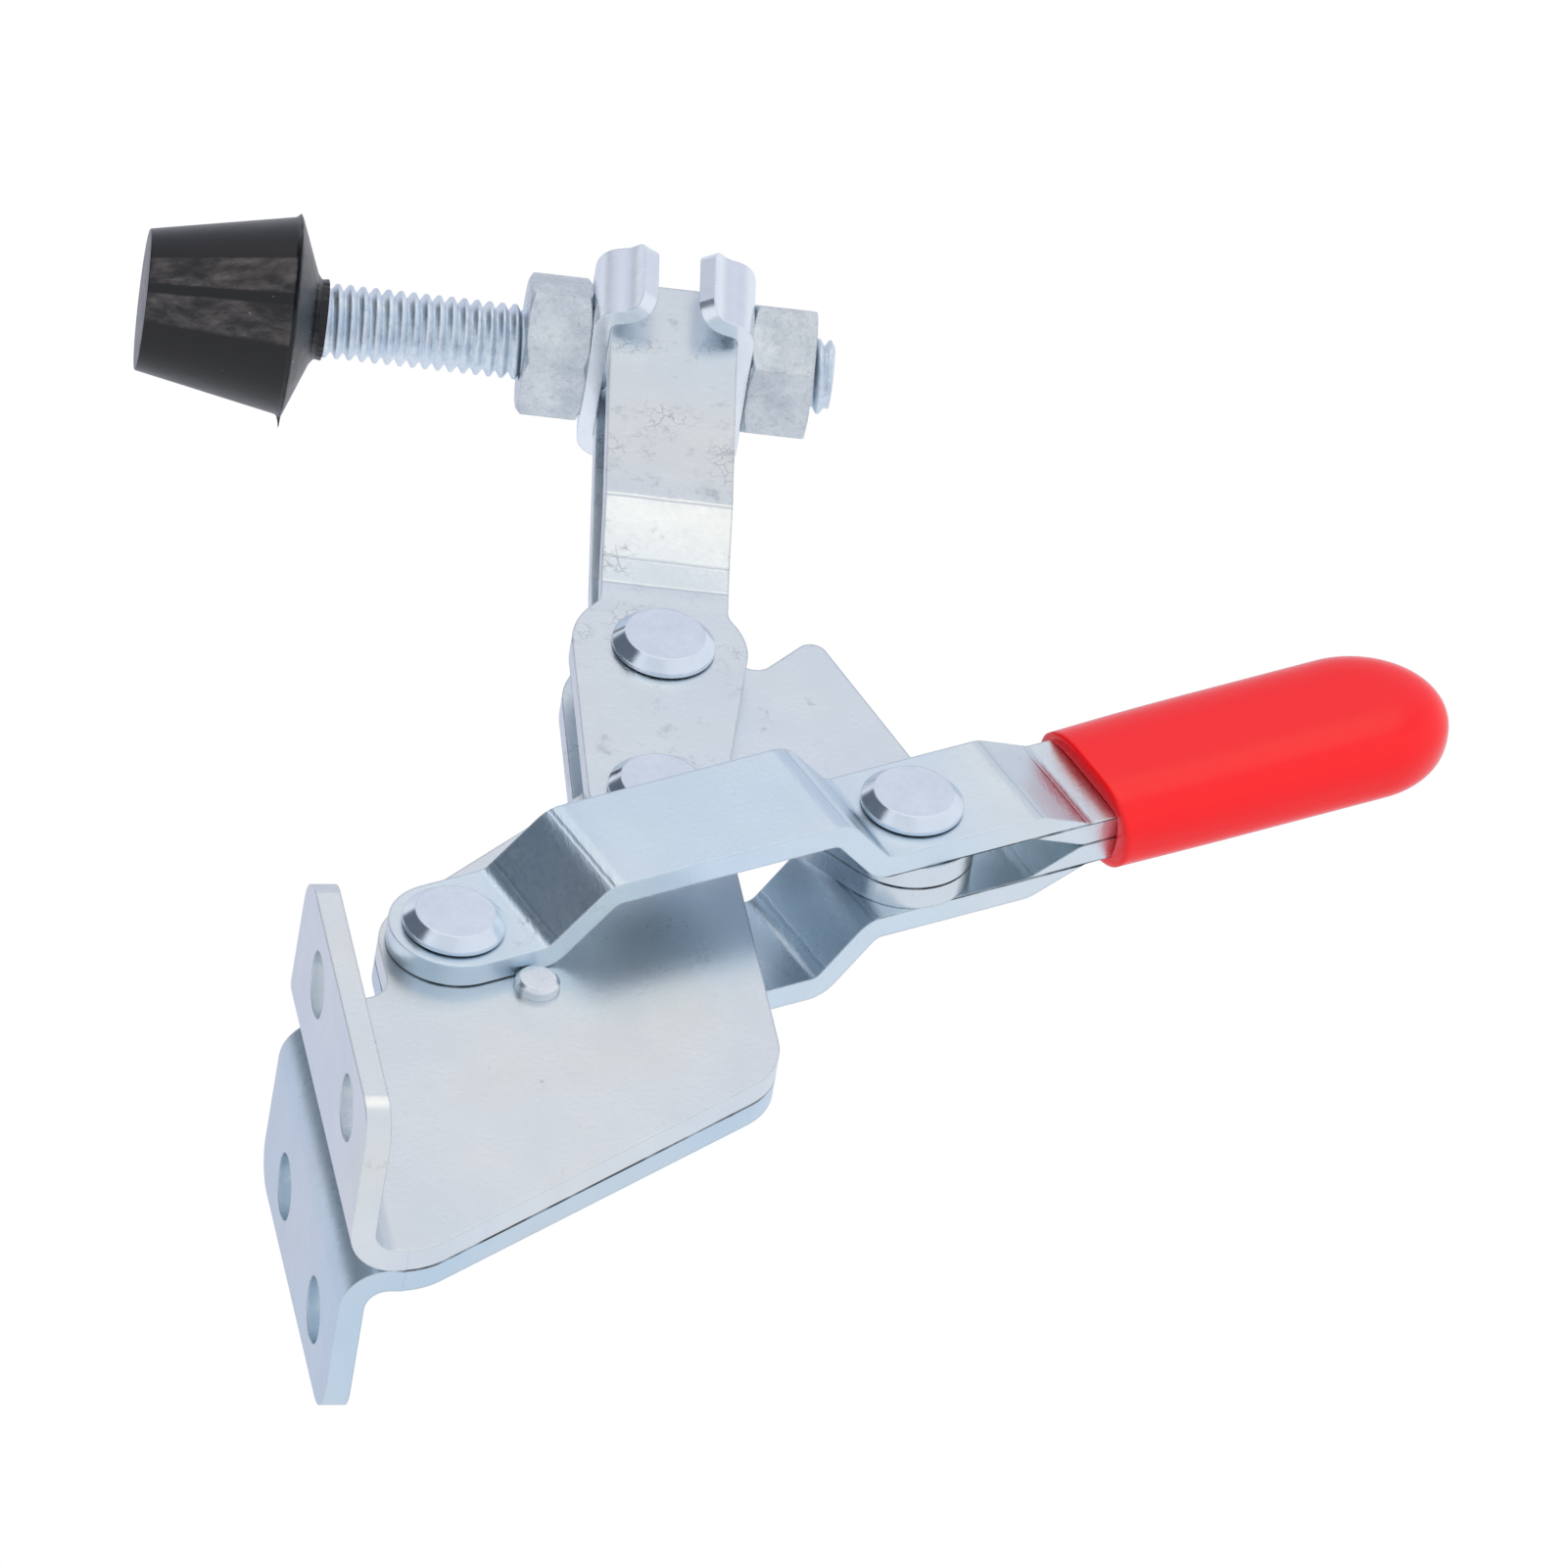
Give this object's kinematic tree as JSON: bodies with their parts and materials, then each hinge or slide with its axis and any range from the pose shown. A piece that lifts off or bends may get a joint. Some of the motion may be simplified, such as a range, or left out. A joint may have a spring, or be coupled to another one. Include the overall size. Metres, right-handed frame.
{
  "type": "toggle clamp",
  "caption": "Side-mounted toggle clamp: a flanged base, a bowed handle with a dipped grip, a link and a slotted arm that carries an adjustable rubber-tipped spindle.",
  "frame": {"origin": "middle of the four bolt holes, on the flange face that meets the mounting surface", "axes": "+X along the flanges towards the clamp arm, +Y along the rivets, +Z away from the mounting surface"},
  "size_m": [0.1248, 0.03, 0.098],
  "materials": {
    "zinc_plate": "satin bright zinc plating",
    "zinc_rivet": "bright zinc plating, lightly burnished",
    "zinc_fastener": "blue-white zinc plating",
    "red_vinyl": "glossy dipped vinyl",
    "black_rubber": "semi-gloss moulded rubber"
  },
  "bodies": {
    "base": {"base_plate_front": "zinc_plate", "base_plate_back": "zinc_plate", "stop_pin": "zinc_rivet", "rivet_handle_base": "zinc_rivet", "rivet_arm_base": "zinc_rivet"},
    "handle": {"handle_strap_front": "zinc_plate", "handle_strap_back": "zinc_plate", "handle_grip": "red_vinyl", "rivet_handle_link": "zinc_rivet"},
    "link": {"link_plate_front": "zinc_plate", "link_plate_back": "zinc_plate"},
    "arm": {"arm_plate_front": "zinc_plate", "arm_plate_back": "zinc_plate", "rivet_link_arm_front": "zinc_rivet", "rivet_link_arm_back": "zinc_rivet"},
    "washers": {"washer_upper": "zinc_fastener", "washer_lower": "zinc_fastener"},
    "spindle": {"spindle_rod": "zinc_fastener", "rubber_cap": "black_rubber"},
    "upper_nut": {"nut_upper": "zinc_fastener"},
    "lower_nut": {"nut_lower": "zinc_fastener"}
  },
  "joints": [
    {"name": "handle_swing", "type": "hinge", "parent": "base", "child": "handle", "pos_m": [0.02207, 0, 0.01375], "axis": [0, 1, 0], "range_deg": [0, 66.84]},
    {"name": "arm_swing", "type": "hinge", "parent": "base", "child": "arm", "pos_m": [0.0382, 0, 0.03252], "axis": [0, 1, 0], "range_deg": [0, 101]},
    {"name": "link_swing", "type": "hinge", "parent": "handle", "child": "link", "pos_m": [0.03681, 0, 0.05233], "axis": [0, 1, 0], "range_deg": [0, 70.1]},
    {"name": "washer_slide", "type": "slide", "parent": "arm", "child": "washers", "axis": [0.9846, 0, 0.1747], "range_m": [-0.019, 0]},
    {"name": "spindle_slide", "type": "slide", "parent": "washers", "child": "spindle", "axis": [-0.1747, 0, 0.9846], "range_m": [-0.0015, 0.014]},
    {"name": "upper_nut_turn", "type": "hinge", "parent": "washers", "child": "upper_nut", "pos_m": [0.09674, 0, 0.0429], "axis": [-0.1747, 0, 0.9846], "continuous": true},
    {"name": "lower_nut_turn", "type": "hinge", "parent": "washers", "child": "lower_nut", "pos_m": [0.09674, 0, 0.0429], "axis": [-0.1747, 0, 0.9846], "continuous": true}
  ],
  "couplings": [
    {"joint": "arm_swing", "follows": "handle_swing", "ratio": 1.5109},
    {"joint": "link_swing", "follows": "handle_swing", "ratio": 1.0485}
  ]
}
